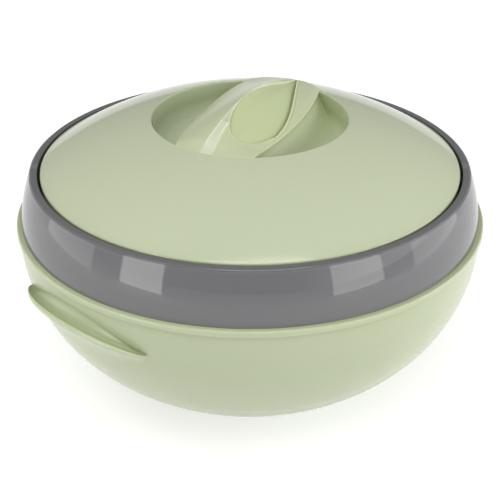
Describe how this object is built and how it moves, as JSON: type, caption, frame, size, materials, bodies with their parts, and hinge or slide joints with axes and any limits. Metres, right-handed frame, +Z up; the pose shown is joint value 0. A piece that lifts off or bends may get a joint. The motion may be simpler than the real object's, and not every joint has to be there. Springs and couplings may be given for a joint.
{
  "type": "thermal serving bowl",
  "caption": "Round double-walled thermal serving bowl with a steel food bowl, side grips, a glossy collar and a domed lift-off lid with a bridged handle well.",
  "frame": {"origin": "centre of the foot on the table, under the bowl's axis", "axes": "+Z up along the bowl's axis, +X through the middle of one side grip, +Y completes the right-handed frame"},
  "size_m": [0.2828, 0.27, 0.173],
  "materials": {
    "green_body": "satin pale green polypropylene",
    "green_panel": "satin green, a little stronger than the handle",
    "grey_collar": "glossy mid grey",
    "steel": "spun stainless steel",
    "foam": "rigid cream foam",
    "seal": "soft translucent white",
    "white_plastic": "plain white moulding",
    "soft_foot": "soft grey non-slip ring"
  },
  "bodies": {
    "bowl": {"outer_bowl": "green_body", "base_plate": "green_body", "fill_plug": "white_plastic", "foot_ring": "soft_foot", "bowl_insulation": "foam", "food_bowl": "steel", "flange_gasket": "seal", "collar_ring": "grey_collar"},
    "lid": {"lid_cover": "green_body", "handle_bar": "green_body", "grip_panel": "green_panel", "handle_screws": "steel", "lid_insulation": "foam", "lid_liner": "white_plastic", "lid_seal": "seal", "lid_fill_plug": "white_plastic"}
  },
  "joints": [
    {"name": "lid_lift", "type": "slide", "parent": "bowl", "child": "lid", "axis": [0, 0, 1], "range_m": [0, 0.08]}
  ]
}
